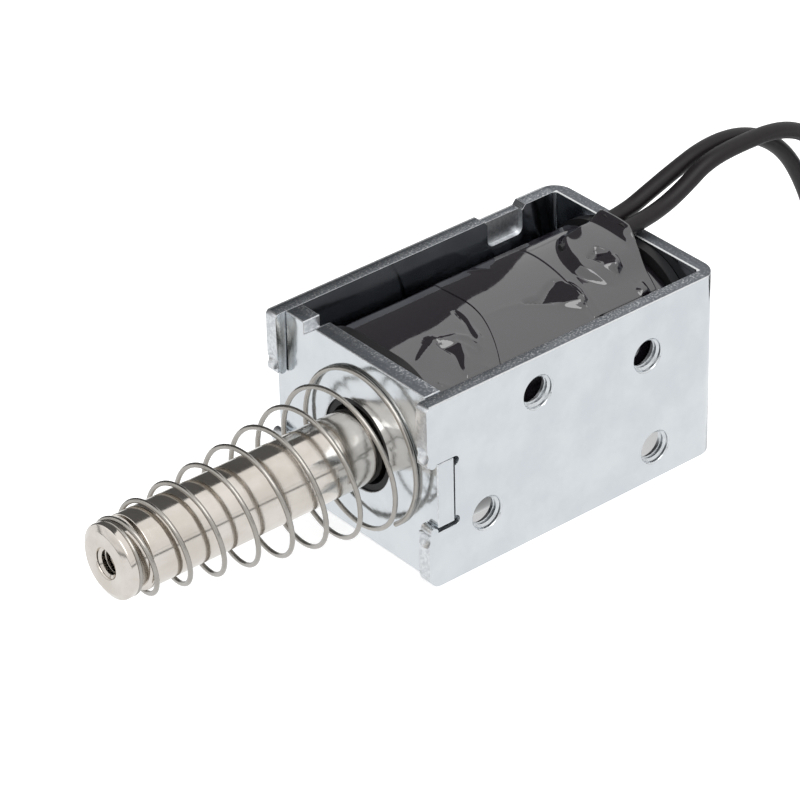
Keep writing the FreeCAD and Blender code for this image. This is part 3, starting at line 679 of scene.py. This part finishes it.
def fold_height(x, y):
    """How far the tape stands off its even shape."""
    height = 0.03 * math.sin(0.55 * x + 0.31 * y) * math.sin(0.42 * y - 0.2 * x)
    for line, rise, width in FOLDS:
        away, along = line_distance(x, y, line)
        if away < 3 * width:
            ends = smooth(along, -0.2, 0.25) * smooth(1 - along, -0.2, 0.25)
            height += rise * math.exp(-away / width) * ends
    for corners, lean_x, lean_y in FACETS:
        right, back, depth = on_facet(x, y, corners)
        height += (lean_x * right + lean_y * back) * smooth(depth, -0.3, 0.25)
    return height - rear_roll(y)


def crowned(x, z):
    """Height of the tape's section under its low arch."""
    if z < AXIS_Z:
        return z
    return min(z, AXIS_Z + TAPE_HALF_Z - (x - ARCH_MIDDLE) ** 2 / (2 * ARCH_RADIUS))


def tape_section():
    """Points of the rounded square, close together over the top, starting at the left below."""
    top_steps = 30
    points = []
    for sign_x, sign_z, first, steps in ((-1, -1, 270, 8), (-1, 1, 180, 56), (1, 1, 90, 56), (1, -1, 0, 8)):
        for i in range(steps + 1):
            angle = math.radians(first - 90 * i / steps)
            points.append((sign_x * FLAT_X + TAPE_CORNER * math.cos(angle),
                           AXIS_Z + sign_z * FLAT_Z + TAPE_CORNER * math.sin(angle)))
        if sign_x == -1 and sign_z == 1:
            points += [(-FLAT_X + 2 * FLAT_X * i / top_steps, AXIS_Z + TAPE_HALF_Z)
                       for i in range(1, top_steps)]
    return points


def lap_line(x):
    """Where the rear band's front edge lies on the front band; it bends forward on the near side."""
    return 15.4 - 0.035 * max(-6.0, min(9.0, x + 1.5)) * abs(x + 1.5)


def tape_band(name, first, last, lift, node):
    """A band of tape from first to last, which give its edges for each x; both edges turn in by the film."""
    section = tape_section()
    rows = 96
    points = []
    for j in range(-1, rows + 2):
        share = min(rows, max(0, j)) / rows
        sunk = FILM if j < 0 or j > rows else 0.0
        for x, z in section:
            y = first(x) + (last(x) - first(x)) * share
            loose = smooth(z, AXIS_Z + 3.5, AXIS_Z + 6.5)
            high = crowned(x, z) + (lift - sunk + fold_height(x, y)) * loose
            inward = 0 if loose else sunk
            points.append((x * (1 - inward / 10), FRONT + y, high))
    count = len(section)
    faces = []
    for j in range(rows + 2):
        for i in range(count):
            k = (i + 1) % count
            faces.append((j * count + i, j * count + k, (j + 1) * count + k, (j + 1) * count + i))
    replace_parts(new_piece(name, mesh_from(name, points, faces, 50), "root", "outer_tape", "tape"), node)


tape_band("tape_front_band", lambda x: FRONT_BAND_START, lambda x: FRONT_BAND_END, -FILM, "outer_tape_front")
tape_band("tape_rear_band", lap_line, lambda x: TAPE_END, 0.0, "outer_tape_rear")

# Cover over the joints of the leads: its left edge, width, front edge and how that runs off to the right
COVER_LEFT, COVER_WIDTH, COVER_FRONT, COVER_SKEW = -5.4, 12.9, 25.3, 0.13
COVER_FILM, COVER_COLUMNS, COVER_ROWS = 0.06, 84, 66
# Crease across the front of the cover
CREASE, CREASE_HEIGHT, CREASE_WIDTH = ((0.4, 27.3), (3.0, 26.1), (7.4, 25.3)), 0.06, 0.22
# Facets of the cover that lean forward: corners, height over the coil, slope along X and along Y
DENTS = (
    (((2.0, 28.4), (1.5, 29.8), (2.4, 30.4), (3.4, 30.8), (4.3, 30.6), (4.6, 29.9), (3.8, 29.1), (2.8, 28.8)),
     0.95, 0.3, 0.2),
    (((5.9, 30.9), (6.6, 30.3), (7.3, 30.6), (7.3, 31.4), (6.3, 31.6)), 0.2, 0.4, 0.2),
)


def hump(x, y):
    """Height of the tape over the two joints: a short steep front, a long top, a climb onto the leads."""
    side = x - 2.2
    front = 26.5 + (0.2 if side > 0 else 0.09) * side * side
    front_end = front + 1.0 - 0.45 * smooth(x, 1.2, 3.0)
    on_front = smooth(x, -4.2, -2.0) * (1 - smooth(x, 3.2, 5.6))
    on_top = smooth(x, -4.6, -2.3) * (1 - smooth(x, 1.3, 5.2))
    climb = 0.85 * smooth(y, 32.5, 34.2) + rear_roll(y)
    height = 0.95 * smooth(y, front - 0.1, front_end) * on_front
    height += on_top * (0.32 * smooth(y, front + 0.9, 31.8) + climb)
    height += CREASE_HEIGHT * math.exp(-line_distance(x, y, CREASE)[0] / CREASE_WIDTH)
    for corners, level, lean_x, lean_y in DENTS:
        right, back, depth = on_facet(x, y, corners)
        height += (level + lean_x * right + lean_y * back - height) * smooth(depth, -0.25, 0.2)
    return height


def cover_end(x):
    """Where the cover ends; on the near side it was drawn forward."""
    return TAPE_END + 0.15 - 0.3 * max(0.0, min(8.0, x) - 1.6)


def lead_cover():
    """Tape pressed down over the joints of the leads, thin at its rim."""
    points = []
    for j in range(COVER_ROWS + 1):
        for i in range(COVER_COLUMNS + 1):
            x = COVER_LEFT + COVER_WIDTH * i / COVER_COLUMNS
            front = COVER_FRONT - COVER_SKEW * x
            y = front + (cover_end(x) - front) * j / COVER_ROWS
            even = AXIS_Z + FLAT_Z + math.sqrt(TAPE_CORNER ** 2 - max(0.0, abs(x) - FLAT_X) ** 2)
            lift = 0.06 if min(i, COVER_COLUMNS - i, j) else -0.04
            points.append((x, FRONT + y, crowned(x, even) + fold_height(x, y) + lift + hump(x, y)))
    faces = []
    for j in range(COVER_ROWS):
        for i in range(COVER_COLUMNS):
            a = j * (COVER_COLUMNS + 1) + i
            faces.append((a, a + 1, a + COVER_COLUMNS + 2, a + COVER_COLUMNS + 1))
    piece = new_piece("lead_cover", mesh_from("lead_cover", points, faces, 50), "root", "outer_tape", "tape")
    skin = piece.modifiers.new("film", "SOLIDIFY")
    skin.thickness = COVER_FILM * MM
    skin.offset = -1
    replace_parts(piece, "lead_cover_tape")


lead_cover()

# Flying leads: route from the winding's joint over the back wall and down, then the put-away turns. Places
# along Y count from the frame's front edge.
LEAD_DIAMETER = 1.7
LEAD_ROUTES = {
    "left": (
        (-1.3, 33.6, 20.85), (-1.3, 36.4, 21.1), (-1.3, 39.0, 22.0), (-1.3, 42.6, 23.2), (-1.3, 46.5, 24.3),
        (-1.3, 50.6, 24.2), (-1.25, 54.6, 22.6), (-1.2, 57.9, 19.6), (-1.1, 60.2, 15.5), (-1.05, 62.0, 10.7),
        (-1.0, 64.6, 6.3), (-1.0, 68.6, 3.2), (-1.05, 73.2, 1.6),
    ),
    "right": (
        (1.0, 33.6, 20.85), (0.85, 36.4, 20.9), (0.7, 39.4, 21.3), (0.75, 42.0, 22.4), (0.9, 45.0, 24.3),
        (1.05, 49.3, 24.75), (1.0, 54.8, 24.4), (0.8, 59.3, 22.0), (0.5, 62.2, 17.7), (0.1, 64.2, 12.9),
        (-0.4, 66.7, 8.4), (-0.8, 70.2, 5.1), (-1.05, 74.4, 3.5),
    ),
}
COIL_X, COIL_Y = 10.3, 78.5
COIL_RADIUS, COIL_TRACK, COIL_TURNS = 11.4, 1.85, 2.2
COIL_POINTS = 16


def put_away_turns(height):
    """Points of a flat spiral that winds inward from the coil's leftmost place."""
    points = []
    for i in range(int(COIL_TURNS * COIL_POINTS) + 1):
        turns = i / COIL_POINTS
        angle = math.radians(180 - 360 * turns)
        radius = COIL_RADIUS - COIL_TRACK * turns
        points.append((COIL_X + radius * math.cos(angle), COIL_Y + radius * math.sin(angle), height))
    return points


def lead(side, height):
    """One flying lead as a single smooth line."""
    route = list(LEAD_ROUTES[side]) + put_away_turns(height)
    route = [(x * MM, (FRONT + y) * MM, z * MM) for x, y, z in route]
    curve = bpy.data.curves.new("flying_lead_" + side, "CURVE")
    curve.dimensions = "3D"
    spline = curve.splines.new("NURBS")
    spline.points.add(len(route) - 1)
    for point, place in zip(spline.points, route):
        point.co = (*place, 1)
    spline.order_u = 3
    spline.use_endpoint_u = True
    spline.resolution_u = 12
    curve.bevel_depth = LEAD_DIAMETER / 2 * MM
    curve.bevel_resolution = 6
    curve.use_fill_caps = True
    piece = new_piece("flying_lead_" + side, curve, "root", "lead_insulation", "lead")
    return piece


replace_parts(lead("left", 1.3), "lead_left", "lead_coil")
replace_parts(lead("right", 3.15), "lead_right")


# White table, and a studio with one broad lamp overhead and a dark wall behind on the left
def staged(name, corners, made):
    """One flat face that isn't part of the object."""
    mesh = bpy.data.meshes.new(name)
    mesh.from_pydata(corners, [], [tuple(range(len(corners)))])
    mesh.materials.append(made)
    piece = bpy.data.objects.new(name, mesh)
    bpy.context.scene.collection.objects.link(piece)


def table():
    """Round white top under the part; mirrors see it evenly lit."""
    radius, count = 1.5, 64
    angles = [2 * math.pi * i / count for i in range(count)]
    made, tree, shader = new_material("white_table", {
        "Roughness": 0.9, "Base Color": linear("#f2f2f2"), "Emission Color": linear("#ffffff")})
    path = add(tree, "LightPath").outputs
    glow = add(tree, "Math", {0: path["Is Camera Ray"], 1: 0.5}, operation="MULTIPLY")
    feed(tree, shader, {"Emission Strength": glow})
    even = add(tree, "Emission", {"Color": linear("#fdfeff"), "Strength": 0.98})
    mixed = add(tree, "MixShader", {0: path["Is Glossy Ray"], 1: shader, 2: even})
    feed(tree, tree.nodes["Material Output"], {"Surface": mixed})
    staged("table_top", [(radius * math.cos(angle), radius * math.sin(angle), 0) for angle in angles], made)


def dark_flag():
    """Black cloth upright on the left of the part, which only reflections show."""
    left, start, end, foot, top = -60, -45, 60, 0.3, 420
    made, tree, shader = new_material("black_cloth", {"Roughness": 1.0})
    dark = add(tree, "Emission", {"Color": linear("#ffffff"), "Strength": 0.1})
    clear = add(tree, "BsdfTransparent")
    seen = add(tree, "LightPath").outputs["Is Glossy Ray"]
    mixed = add(tree, "MixShader", {0: seen, 1: clear, 2: dark})
    feed(tree, tree.nodes["Material Output"], {"Surface": mixed})
    corners = [(left, start, foot), (left, end, foot), (left, end, top), (left, start, top)]
    staged("black_flag", [Vector(corner) * MM for corner in corners], made)


def studio():
    """Even light from above, a dark gap low at the horizon and a thin seam; the camera sees plain white."""
    world = bpy.data.worlds.new("studio")
    bpy.context.scene.world = world
    world.use_nodes = True
    tree = world.node_tree
    place = add(tree, "SeparateXYZ", {0: add(tree, "TexCoord").outputs["Generated"]}).outputs
    overhead = add(tree, "MapRange", {0: place["Z"], 1: 0.3, 2: 0.8, 3: 0.97, 4: 1.08}, **SOFT)
    horizon = add(tree, "MapRange", {0: place["Z"], 1: 0.05, 2: 0.09, 3: 0.2, 4: 0.95}, **SOFT)
    off_seam = add(tree, "Math", {0: place["Z"], 1: 0.2}, operation="SUBTRACT")
    off_seam = add(tree, "Math", {0: off_seam}, operation="ABSOLUTE")
    seam = add(tree, "MapRange", {0: off_seam, 2: 0.03, 3: 0.7}, **SOFT)
    level = add(tree, "Math", {0: overhead, 1: horizon}, operation="MULTIPLY")
    level = add(tree, "Math", {0: level, 1: seam}, operation="MULTIPLY")
    seen = add(tree, "LightPath").outputs["Is Camera Ray"]
    shown = add(tree, "Mix", {0: seen, 2: level, 3: 1.0}, data_type="FLOAT")
    feed(tree, tree.nodes["Background"], {"Color": linear("#ffffff"), "Strength": shown})


def overhead_lamp():
    """A square lamp above the near side, turned to the middle of the part."""
    place = Vector((0.35, -0.1, 0.6))
    lamp = bpy.data.lights.new("overhead_lamp", "AREA")
    lamp.shape = "SQUARE"
    lamp.size = 0.5
    lamp.energy = 1.5
    piece = bpy.data.objects.new("overhead_lamp", lamp)
    bpy.context.scene.collection.objects.link(piece)
    piece.location = place
    piece.rotation_euler = (Vector((0, 0, AXIS_Z * MM)) - place).to_track_quat("-Z", "Y").to_euler()


def camera():
    """The photograph's viewpoint and long lens, solved from the straight edges of the frame."""
    lens = bpy.data.cameras.new("camera")
    lens.lens = 186.15
    lens.sensor_width = 36
    lens.clip_start = 0.01
    eye = bpy.data.objects.new("camera", lens)
    bpy.context.scene.collection.objects.link(eye)
    place = Vector((254.291, -205.462, 222.631)) * MM
    right = Vector((0.640401, 0.767732, -0.021785))
    up = Vector((-0.402855, 0.359919, 0.841526))
    back = Vector((0.653907, -0.530138, 0.539777))
    turn = Matrix((right, up, back)).transposed().to_4x4()
    eye.matrix_world = Matrix.Translation(place) @ turn
    bpy.context.scene.camera = eye


table()
dark_flag()
studio()
overhead_lamp()
camera()
bpy.context.scene.view_settings.view_transform = "Standard"
